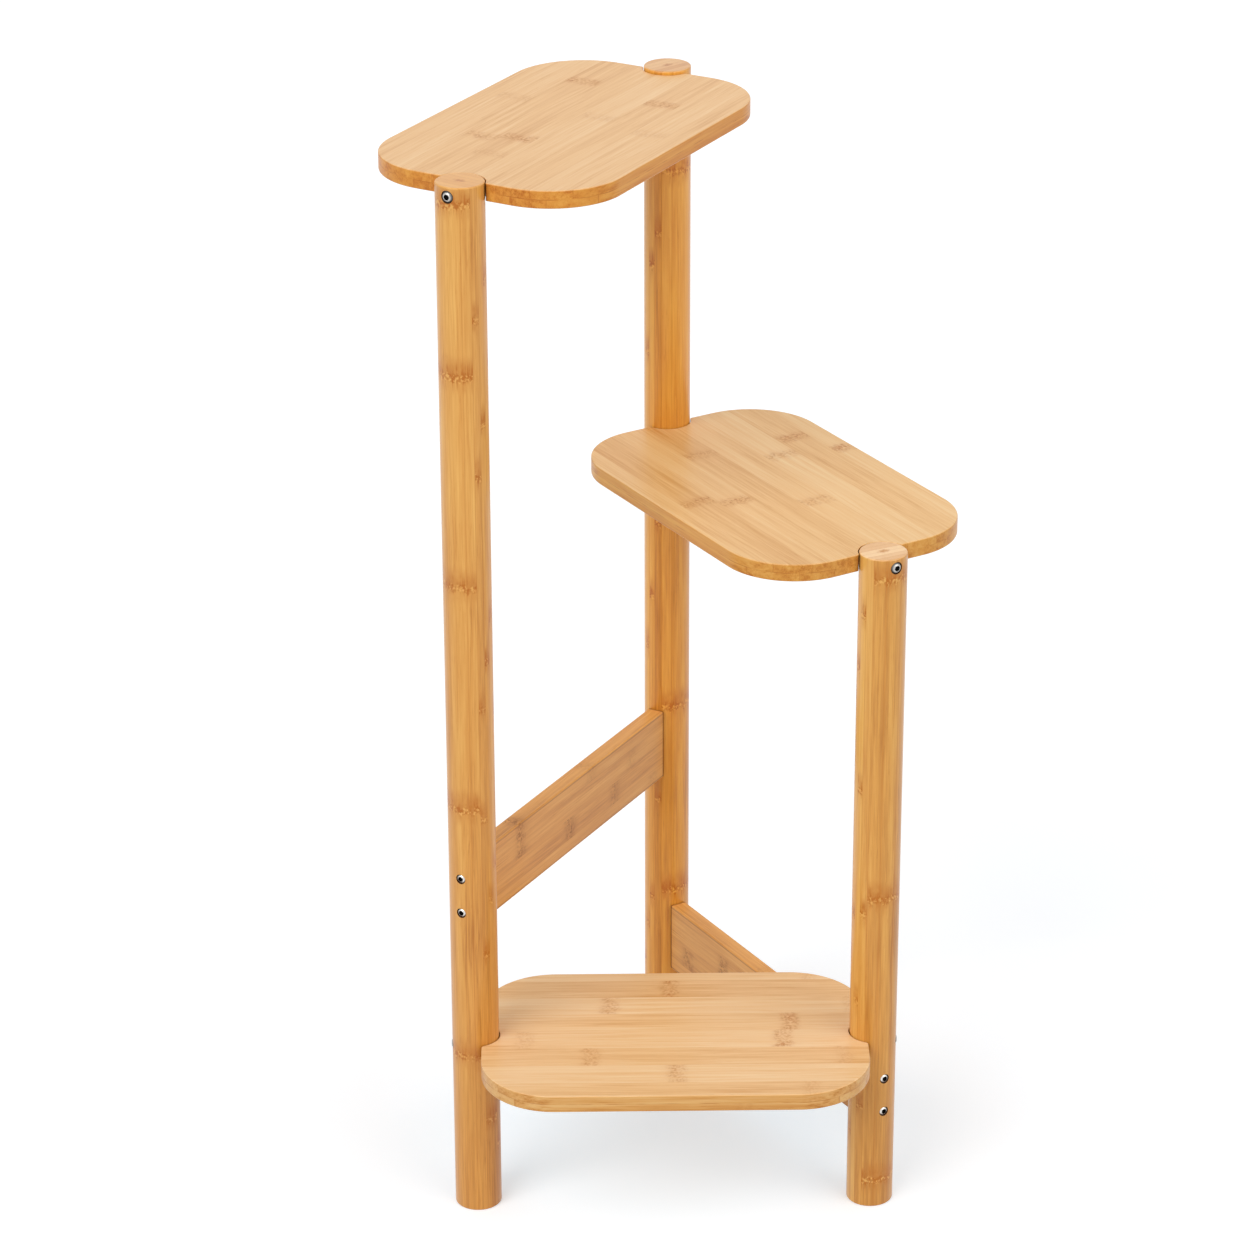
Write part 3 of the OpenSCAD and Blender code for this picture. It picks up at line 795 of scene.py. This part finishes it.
def bamboo(name, kind, place, layout):
    """Lacquered laminated bamboo. `place` is the frame of the grain, and `layout` works out
    from a point where it lies along, across and through the strips, its strip's tone, how
    lively the fibres are, the strip's seed, how far away the strip's nearest knuckle is, how
    strong that is, how near a glue line is, and washes that tint a part of the surface."""
    colours, marks, roughness, coat = BAMBOO[kind]
    finish = Finish(name + "_bamboo")
    (along, across, through, tone, lively, seed,
     offset, present, glue, washes) = layout(finish, finish.place_in_mm(place))
    light, middle, dark, knuckle = (linear(*colour) for colour in colours)
    width, contrast, above_share, below_share, ridge_share, patch_share = marks

    # Near a knuckle the fibres zigzag; elsewhere they only wander a little
    close = finish.times(finish.step(finish.size(offset), 10.0, 1.0), present)
    in_strip = finish.join(along, across, finish.calc("ADD", through, seed))
    zigzag = finish.noise(in_strip, (5.0, 2.6, 2.6), 2.0, 0.6)
    wander = finish.noise(in_strip, (130, 26, 26), 1.0)
    bent = finish.total(across, (wander, 3.0), (finish.times(zigzag, close), 4.0))
    fibres = finish.join(along, bent, finish.calc("ADD", through, seed))

    broad = finish.noise(fibres, (200, 8, 8))
    medium = finish.noise(fibres, (70 * width, 1.9 * width, 1.9 * width), 2.0, 0.6)
    fine = finish.noise(fibres, (26 * width, 0.6 * width, 0.6 * width), 1.0)
    dashes = finish.step(finish.noise(fibres, (12, 0.75, 0.75), 1.0), 0.1, 0.25)
    figure = finish.slope(finish.noise(in_strip, (75, 13, 13), 1.0), 1.8, 1.0)

    # A knuckle: beads, pale and brown, in a wavy band, brown above it that fades upward,
    # brown streaks below it, and for a strip seen on its face a mottled patch
    waves = finish.noise(in_strip, (50, 5, 5), 2.0, 0.7)
    near = finish.slope(waves, 12.0, offset)
    blotch = finish.step(finish.noise(in_strip, (12, 9, 9), 2.0, 0.6), -0.22, 0.12)
    streak = finish.step(finish.total(medium, (fine, 0.5)), -0.14, 0.2)
    beads = finish.noise(in_strip, (2.6, 2.4, 2.4), 1.0, 0.6)
    above = finish.times(finish.step(near, 22.0, -2.0), finish.step(near, -1.5, 0.6))
    below = finish.times(finish.step(near, -18.0, -2.0), finish.step(near, 0.6, -1.5))
    band = finish.step(finish.size(finish.calc("ADD", near, 1.5)), 4.2, 1.8)
    mottle = finish.step(beads, 0.08, -0.14)
    patch = finish.step(finish.size(near), 11.0, 4.0)
    brown = finish.total((finish.times(above, finish.slope(streak, 0.55, 0.45)), above_share),
                         (finish.times(below, streak), below_share),
                         (finish.times(band, mottle), ridge_share),
                         (finish.times(patch, finish.slope(mottle, 0.7, 0.3)), patch_share))
    brown = finish.times(brown, finish.slope(blotch, 0.6, 0.4), present, clamp=True)
    pale = finish.times(band, finish.step(beads, 0.02, 0.16), present, ridge_share, clamp=True)

    shade = finish.total((broad, 0.6), (medium, 0.65), (fine, 0.3), (dashes, -0.1))
    shade = finish.times(shade, figure, finish.times(lively, contrast))
    shade = finish.calc("ADD", tone, shade, clamp=True)
    colour = finish.node("ValToRGB", {0: shade})
    ramp = colour.color_ramp
    ramp.elements[0].color = dark
    ramp.elements[1].color = light
    ramp.elements.new(0.5).color = middle
    colour = finish.mix(brown, colour.outputs[0], knuckle)
    colour = finish.mix(pale, colour, light)
    colour = finish.mix(glue, colour, knuckle)
    for share, tint in washes:
        colour = finish.mix(share, colour, finish.vector("MULTIPLY", colour, tint))
    # Unlacquered wood, and painted shade in holes, recesses and a notch's mouth, darken and dull the
    # colour
    bare_and_shade = finish.attribute("bare_and_shade")
    colour = finish.mix(bare_and_shade, colour, linear(*BARE_AND_SHADE_COLOUR))

    rough = finish.total((medium, 0.12), (broad, 0.08), (bare_and_shade, 0.3), (close, 0.05))
    finish.give("Roughness", finish.calc("ADD", rough, roughness))
    finish.give("Base Color", colour)
    finish.relief(0.35, 0.06, finish.total((medium, 0.5), (fine, 0.35), (dashes, -0.3),
                                           (brown, -0.4), (glue, -0.8)))
    finish.give("Specular IOR Level", 0.15)
    finish.give("Coat Weight", coat)
    finish.give("Coat Roughness", 0.3)
    return finish.material


# How strong the three knuckles of a flat strip are, and those in each of a layer's rows
STRIP_KNUCKLES = [1.0, 0.7, 0.35]
POST_KNUCKLES = [1.0, 0.9, 0.8]

# How far to either side of a knuckle its figure may reach
SHELF_KNUCKLE_REACH = 20.0
LONG_KNUCKLE_REACH = 32.0

# The place of a knuckle that isn't there
NONE = -900

# A knuckle's place, -1000 to 1000, is kept in a table as a share from 0 to 1
KNUCKLE_SHIFT = 1000.0
KNUCKLE_SCALE = 2000.0


def knuckle_row(tone, *places):
    """A table's row of four shares: the places of three knuckles, and a tone."""
    return (*((place + KNUCKLE_SHIFT) / KNUCKLE_SCALE for place in places), tone)


def nearest_knuckle(finish, along, rows, strengths, reach):
    """The signed distance to the knuckle within reach of a place, and its strength. With
    none there both are 0. The knuckles' windows don't overlap, so each adds its own."""
    gap = finish.vector("SUBTRACT", finish.join(along, along, along),
                        finish.vector("MULTIPLY_ADD", rows, [KNUCKLE_SCALE] * 3, [-KNUCKLE_SHIFT] * 3))
    share = finish.vector("MULTIPLY_ADD", finish.vector("ABSOLUTE", gap), [-1 / reach] * 3, [1.0] * 3)
    within = finish.vector("CEIL", finish.vector("MAXIMUM", share, [0.0] * 3))
    return finish.vector("DOT_PRODUCT", gap, within), finish.vector("DOT_PRODUCT", within, strengths)


# Widths of the strips and thickness of the layers
SHELF_STRIP_W = 29.5
RAIL_STRIP_W = 20.0
POST_LAYER_T = 6.0

# How the lower ply lies against the upper one: across by a share of a strip, and along
PLY_STAGGER = 0.42
PLY_SHIFT = 57.0


def seam(finish, place, pitch, half_width):
    """1 on the glue line between two strips, falling to 0 within half_width either side."""
    off_middle = finish.size(finish.calc("SUBTRACT", finish.calc("FRACT", place), 0.5))
    return finish.step(off_middle, 0.5 - half_width / pitch, 0.5)


def shelf_layout(strips, boundary, tint, edge_tint):
    """How a shelf is glued up: two plies of strips, the lower ones staggered. `strips` lists
    them from one long side to the other, and `boundary` is where the middle two meet.
    Round the shelf's side the blocks differ more and take the edge's tint too."""

    def layout(finish, local):
        along, across, through = finish.split(local)
        depth = finish.calc("ADD", through, SHELF_T / 2)
        lower = finish.step(depth, 0.01, -0.01)
        place = finish.total((across, 1 / SHELF_STRIP_W), (lower, PLY_STAGGER),
                             len(strips) / 2 - boundary / SHELF_STRIP_W)
        index = finish.calc("FLOOR", place)
        row = finish.table(finish.within(index, strips), strips)
        shifted = finish.slope(lower, PLY_SHIFT, along)
        offset, present = nearest_knuckle(finish, shifted, row["Color"], STRIP_KNUCKLES,
                                          SHELF_KNUCKLE_REACH)
        side = finish.step(finish.size(depth), SHELF_T / 2 - 0.1, SHELF_T / 2 - 0.8)
        # Each block's numbers give it a place in the noise, and so a tone of its own
        block = finish.noise(finish.join(index, lower, 0.5), (1 / 3.7, 1 / 5.3, 1), 0.0)
        tone = finish.total(row["Alpha"], (finish.times(block, side), 0.4))
        ply = finish.step(finish.size(depth), 0.5, 0.1)
        broken = finish.step(finish.noise(local, (22, 22, 300), 1.0), -0.1, 0.12)
        line = seam(finish, place, SHELF_STRIP_W, 0.35)
        line = finish.times(line, finish.slope(side, 0.35, 0.08))
        glue = finish.calc("MAXIMUM", line, finish.times(ply, broken, 0.6))
        seed = finish.total((index, 7.3), (lower, 31.0))
        lively = finish.calc("ADD", side, 1.0)
        return (along, across, through, tone, lively, seed,
                offset, present, glue, [(1.0, tint), (side, edge_tint)])

    return layout


def post_layout(layers, outermost, top, tint, cap_tint):
    """How a post is glued up: layers side by side across it, numbered from the outermost
    boundary inwards, each with the heights of its knuckles and its tone. The post's top
    face is paler, with a brown smudge in its middle."""
    low_rows, high_rows = zip(*layers)

    def layout(finish, local):
        through, across, along = finish.split(local)
        place = finish.calc("DIVIDE", finish.calc("SUBTRACT", outermost, through), POST_LAYER_T)
        index = finish.within(finish.calc("CEIL", place), layers)
        low = finish.table(index, low_rows)
        high = finish.table(index, high_rows)
        (offset, present), (offset_high, present_high) = (
            nearest_knuckle(finish, along, row["Color"], POST_KNUCKLES, LONG_KNUCKLE_REACH)
            for row in (low, high))
        offset = finish.calc("ADD", offset, offset_high)
        cap = finish.step(along, top - 1.0, top - 0.2)
        below_cap = finish.calc("SUBTRACT", 1.0, cap)
        present = finish.times(finish.calc("ADD", present, present_high), below_cap)
        smudge = finish.total(
            1.0, (finish.vector("LENGTH", finish.stretch(local, 4.5, 9.0, 1e6)), -1.0),
            (finish.noise(local, (3, 3, 1e6)), 1.2))
        smudge = finish.times(finish.step(smudge, 0.1, 0.9), finish.times(cap, 0.85))
        line = finish.times(seam(finish, place, POST_LAYER_T, 0.5), 0.34)
        glue = finish.calc("MAXIMUM", line, smudge)
        seed = finish.times(index, 9.7)
        # Painted shade: the tone darkens steadily down the post towards the floor
        tone = finish.total(low["Alpha"], (along, 0.0004), -0.2)
        lively = finish.slope(cap, -0.75, 1.0)
        return (along, across, through, tone, lively, seed,
                offset, present, glue, [(1.0, tint), (cap, cap_tint)])

    return layout


def rail_layout(strips):
    """How a rail is glued up: strips one above the other over its height. Its upper and
    lower edges are paler than its faces, with a dark line just inside them, and its ends
    are darker with painted shade where they meet the posts."""

    def layout(finish, local):
        along, through, across = finish.split(local)
        place = finish.calc("ADD", finish.calc("DIVIDE", across, RAIL_STRIP_W), len(strips) / 2)
        index = finish.calc("FLOOR", place)
        row = finish.table(finish.within(index, strips), strips)
        offset, present = nearest_knuckle(finish, along, row["Color"], STRIP_KNUCKLES,
                                          LONG_KNUCKLE_REACH)
        height = finish.size(across)
        edge = finish.step(height, RAIL_H / 2 - 0.9, RAIL_H / 2 - 0.2)
        inside = finish.size(finish.calc("SUBTRACT", height, RAIL_H / 2 - 1.7))
        inside = finish.times(finish.step(inside, 1.1, 0.2), 0.5)
        line = finish.times(seam(finish, place, RAIL_STRIP_W, 0.3), 0.15)
        glue = finish.calc("MAXIMUM", line, inside)
        # Painted shade: the last few millimetres of each end darken where the rail meets a post
        end = finish.step(finish.size(along), RAIL_HALF_L - 2.8, RAIL_HALF_L - 0.8)
        seed = finish.times(index, 5.9)
        return (along, across, through, row["Alpha"], 1.0, seed,
                offset, present, glue, [(edge, RAIL_EDGE_TINT), (end, RAIL_END_SHADE_TINT)])

    return layout


def steel_finish():
    """Bright steel with fine marks and a soft haze; its rim and socket are dark with painted shade,
    and dull.
    """
    finish = Finish("bolt_steel")
    at = finish.place_in_mm()
    marks = finish.noise(at, (0.5, 0.5, 0.5), 3.0, 0.6)
    haze = finish.noise(at, (3, 3, 3))
    bare_and_shade = finish.attribute("bare_and_shade")
    colour = finish.mix(finish.calc("ADD", haze, 0.5), linear(208, 203, 196), linear(240, 236, 230))
    # Painted shade: rim, socket and a shelf bolt's dome mix towards near black
    finish.give("Base Color", finish.mix(bare_and_shade, colour, linear(22, 20, 19)))
    finish.give("Roughness", finish.total((marks, 0.15), (bare_and_shade, 0.3), 0.32))
    finish.give("Metallic", 1.0)
    finish.relief(0.2, 0.01, marks)
    return finish.material


def brass_finish():
    """Turned yellow brass with a little tarnish."""
    finish = Finish("insert_brass")
    tarnish = finish.noise(finish.place_in_mm(), (4, 4, 4), 3.0, 0.6)
    finish.give("Base Color", finish.mix(finish.calc("ADD", tarnish, 0.5),
                                         linear(168, 128, 62), linear(222, 184, 108)))
    finish.give("Roughness", finish.slope(tarnish, 0.2, 0.34))
    finish.give("Metallic", 1.0)
    return finish.material


# Strips and layers

def strip(tone, strong=NONE, middling=NONE, faint=NONE):
    """A strip's tone, and where its three knuckles lie along the board, in millimetres from
    its middle."""
    return knuckle_row(tone, strong, middling, faint)


def layer(tone, *knuckles):
    """A layer's tone, and the heights of up to six knuckles in a post. It takes two rows."""
    heights = knuckles + (NONE,) * (6 - len(knuckles))
    return knuckle_row(tone, *heights[:3]), knuckle_row(tone, *heights[3:])


# Strips of each shelf from one long side to the other
TOP_STRIPS = [
    strip(0.5), strip(0.55, faint=6), strip(0.48, 79), strip(0.58, faint=25),
    strip(0.45, -53, faint=-98), strip(0.42, 104, -62), strip(0.52, faint=40), strip(0.46),
]
MIDDLE_STRIPS = [
    strip(0.52), strip(0.36, 3), strip(0.52, 17), strip(0.4, middling=-86),
    strip(0.54, middling=51), strip(0.62, middling=-49), strip(0.44, -79), strip(0.58, -36),
]
BOTTOM_STRIPS = [
    strip(0.45, faint=113), strip(0.65, middling=1), strip(0.46, NONE, -72, 144),
    strip(0.63, 93, faint=-128), strip(0.5, 100), strip(0.57, NONE, -54, 155),
    strip(0.36, -2), strip(0.54, faint=120),
]

# Layers of each post from the one that faces the front. The pale tones of the rear post's fourth and
# fifth layers and of the front right post's second to fourth are painted light on the posts' left
# sides.
LEFT_LAYERS = [
    layer(0.58, 772, 917, NONE, 387, 589, 153), layer(0.42, 685, 89, 480, 378, 250, 820),
    layer(0.5, 730, 520, 300, 90), layer(0.5, 850, 560, 330, 60), layer(0.55, 780, 470, 210),
    layer(0.48, 640, 380, 140, 880),
]
REAR_LAYERS = [
    layer(0.58, 846, 343, NONE, 159), layer(0.3, 520, 790, 250), layer(0.62, 760, 450, 150),
    layer(0.78, 680, 400, 120, 870), layer(0.8, 840, 560, 300, 80), layer(0.5, 700, 350, 40),
]
RIGHT_LAYERS = [
    layer(0.46, 593, 300, NONE, 27), layer(0.62, 285, NONE, 100), layer(0.9, 560, 400, 200),
    layer(0.86, 510, 280, 70), layer(0.5, 480, 240), layer(0.5, 350, 90, 540),
]

# Strips of each rail from the lower edge up
UPPER_RAIL_STRIPS = [strip(0.55, faint=130), strip(0.45, -19, 60), strip(0.5, -103, faint=90),
                     strip(0.5, -103, faint=20)]
LOWER_RAIL_STRIPS = [strip(0.5, 40, -90), strip(0.45, -120, faint=100), strip(0.52, -60),
                     strip(0.5, faint=0)]

# A tint is what a part's colour is multiplied by
RAIL_EDGE_TINT = [1.15, 1.17, 1.1]
# The rail's ends are darkened with painted shade
RAIL_END_SHADE_TINT = [0.4, 0.3, 0.2]

# Every post: its node, its number, the way that its layers face in degrees, the layers, how
# far from its middle their outermost boundary lies, its tint and its top's
POSTS = [
    ("post_front_left", LEFT, -125, LEFT_LAYERS, 10.3, [0.935, 0.86, 0.63], [1.1, 1.12, 1.3]),
    ("post_rear", REAR, -50, REAR_LAYERS, 11.4, [0.985, 0.84, 0.4], [0.96, 1.1, 2.75]),
    ("post_front_right", RIGHT, -65, RIGHT_LAYERS, 12.8, [0.94, 0.9, 0.66], [1.2, 1.46, 3.2]),
]

# Every shelf: its node, its posts, its height, its strips, how far across from its middle
# the middle two of them meet, its tint and its edge's
SHELVES = [
    ("shelf_top", LEFT, REAR, TOP_SHELF_H, TOP_STRIPS, -0.5,
     [0.99, 0.96, 0.96], [0.78, 0.5, 0.145]),
    ("shelf_middle", REAR, RIGHT, MIDDLE_SHELF_H, MIDDLE_STRIPS, -2.0,
     [1, 0.99, 0.93], [0.75, 0.54, 0.22]),
    ("shelf_bottom", LEFT, RIGHT, BOTTOM_SHELF_H, BOTTOM_STRIPS, 4.0,
     [1, 1.02, 1.08], [0.76, 0.6, 0.36]),
]

# Every rail: its node, its posts, the height of its middle, its strips
RAILS = [
    ("rail_upper", LEFT, REAR, UPPER_RAIL_MID_Z, UPPER_RAIL_STRIPS),
    ("rail_lower", REAR, RIGHT, LOWER_RAIL_MID_Z, LOWER_RAIL_STRIPS),
]

for node, number, facing, layers, outermost, tint, cap_tint in POSTS:
    rod = bamboo(node, "post", Place(*POST_XY[number], 0, radians(facing)),
                 post_layout(layers, outermost, POST_TOP[number], tint, cap_tint))
    post_surface(number).piece("bamboo_" + node, rod, "post_bamboo", node)

for node, start, end, height, strips, boundary, tint, edge_tint in SHELVES:
    board = bamboo(node, "shelf", between(start, end, height),
                   shelf_layout(strips, boundary, tint, edge_tint))
    shelf_surface(start, end, height).piece("bamboo_" + node, board, "shelf_bamboo", node)

for node, start, end, middle_z, strips in RAILS:
    bar = bamboo(node, "rail", between(start, end, middle_z), rail_layout(strips))
    rail_surface(start, end, middle_z).piece("bamboo_" + node, bar, "rail_bamboo", node)

steel = steel_finish()
for i, (node, joint) in enumerate(JOINTS.items()):
    bolt_surface(*joint, turn=SOCKET_TURN * i).piece("domed_" + node, steel, "bolt_steel", node)

brass = brass_finish()
for name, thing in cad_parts.items():
    if "insert" in name:
        thing.data.materials.clear()
        thing.data.materials.append(brass)


# Floor, light and camera

# The floor's glow is stronger in blue close to the stand than far from it
FLOOR_REACH = 30
FLOOR_COLOUR = (0.78, 0.8, 0.82, 1)
FLOOR_GLOW = 0.38
FAR_GLOW_COLOUR = (0.98, 1, 1.02, 1)
NEAR_GLOW_COLOUR = (0.87, 1.07, 1.21, 1)

# Each lamp's strength, and in degrees its softness, its tilt and its turn about the vertical
LAMPS = {"key_light": (1.34, 40, 50, -40), "fill_light": (0.86, 50, 54, 52)}

# The light of the surroundings, against 1 for the white that the camera sees
SKY_LIGHT = 0.47

# The camera's lens, fitted in pixels of the photograph, and its place and turn
PHOTO_SIDE = 1254
FOCAL_PIXELS = 4500
SENSOR = 36
CAMERA_PLACE = (-0.08361, -3.47720, 2.06191)
CAMERA_TURN = (1.14778, 0.00279, -0.01434)


def floor():
    """A wide flat sheet at floor height. Its own light, which only the camera and its
    reflections see, lifts it to white where nothing shades it. Near the stand that light is
    cooler, against the warm light that the boards throw down."""
    mesh = bpy.data.meshes.new("studio_floor")
    corners = [(FLOOR_REACH * x, FLOOR_REACH * y, 0) for x, y in ((-1, -1), (1, -1), (1, 1), (-1, 1))]
    mesh.from_pydata(corners, [], [(0, 1, 2, 3)])
    finish = Finish("studio_floor_white")
    finish.give("Base Color", FLOOR_COLOUR)
    finish.give("Roughness", 0.9)
    finish.give("Specular IOR Level", 0.0)
    away = finish.vector("LENGTH", finish.node("TexCoord").outputs["Object"])
    near = finish.step(away, 0.3, 0.12)
    finish.give("Emission Color", finish.mix(near, FAR_GLOW_COLOUR, NEAR_GLOW_COLOUR))
    finish.give("Emission Strength", finish.times(finish.seen_rays(), FLOOR_GLOW))
    mesh.materials.append(finish.material)
    add_object("studio_floor", mesh)


floor()

world = bpy.data.worlds.new("studio")
bpy.context.scene.world = world
world.use_nodes = True
sky = Nodes(world.node_tree)
background = sky.tree.nodes["Background"].inputs
sky.feed(background["Color"], (1, 1, 1, 1))
strength = sky.node("MapRange", {"Value": sky.seen_rays(), "To Min": SKY_LIGHT, "To Max": 1.0})
sky.feed(background["Strength"], strength.outputs["Result"])

for name, (energy, softness, tilt, turn) in LAMPS.items():
    light = bpy.data.lights.new(name, "SUN")
    light.energy = energy
    light.angle = radians(softness)
    add_object(name, light).rotation_euler = (radians(tilt), 0, radians(turn))

camera = bpy.data.cameras.new("camera")
camera.sensor_width = SENSOR
camera.lens = FOCAL_PIXELS / PHOTO_SIDE * SENSOR
camera.clip_end = 100
viewer = add_object("camera", camera)
viewer.location = CAMERA_PLACE
viewer.rotation_euler = CAMERA_TURN
bpy.context.scene.camera = viewer
bpy.context.scene.view_settings.view_transform = "Standard"

bpy.context.view_layer.update()
